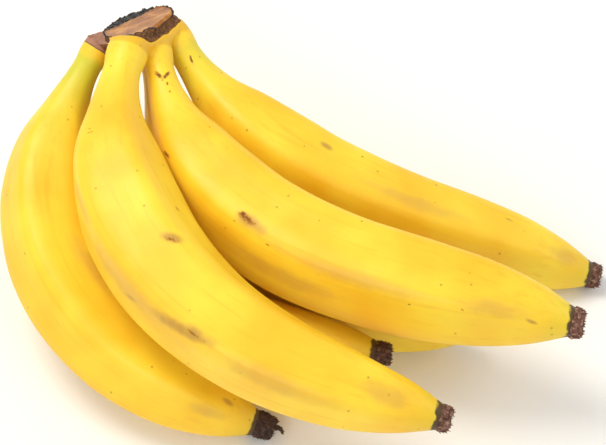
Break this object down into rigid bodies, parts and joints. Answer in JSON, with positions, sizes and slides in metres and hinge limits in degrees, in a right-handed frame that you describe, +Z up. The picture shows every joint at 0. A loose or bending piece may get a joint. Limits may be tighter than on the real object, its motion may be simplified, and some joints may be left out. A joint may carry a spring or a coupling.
{
  "type": "bunch of bananas",
  "caption": "Bunch of ripe yellow bananas on one cut brown crown, lying on its side in two layers, with soft lengthwise ridges and dark dried flower ends.",
  "frame": {"origin": "middle of the bunch's footprint, on the surface it lies on", "axes": "+Z up; +X along the long way of the bunch, from the crown's side towards the tips of bananas 3 and 4; +Y towards the crown"},
  "size_m": [0.219, 0.167, 0.0828],
  "materials": {
    "peel": "waxy satin banana peel, warm yellow, greener at the neck and tip, with brown flecks",
    "crown": "knife-cut stalk, dried orange-brown and fibrous, rim blackened by latex",
    "blossom_end": "dry, crumbling, dark brown"
  },
  "bodies": {
    "root": {"crown": "crown", "banana_1": "peel", "banana_2": "peel", "banana_3": "peel", "banana_4": "peel", "banana_5": "peel", "banana_6": "peel", "blossom_end_1": "blossom_end", "blossom_end_2": "blossom_end", "blossom_end_3": "blossom_end", "blossom_end_4": "blossom_end", "blossom_end_5": "blossom_end", "blossom_end_6": "blossom_end"}
  },
  "joints": []
}
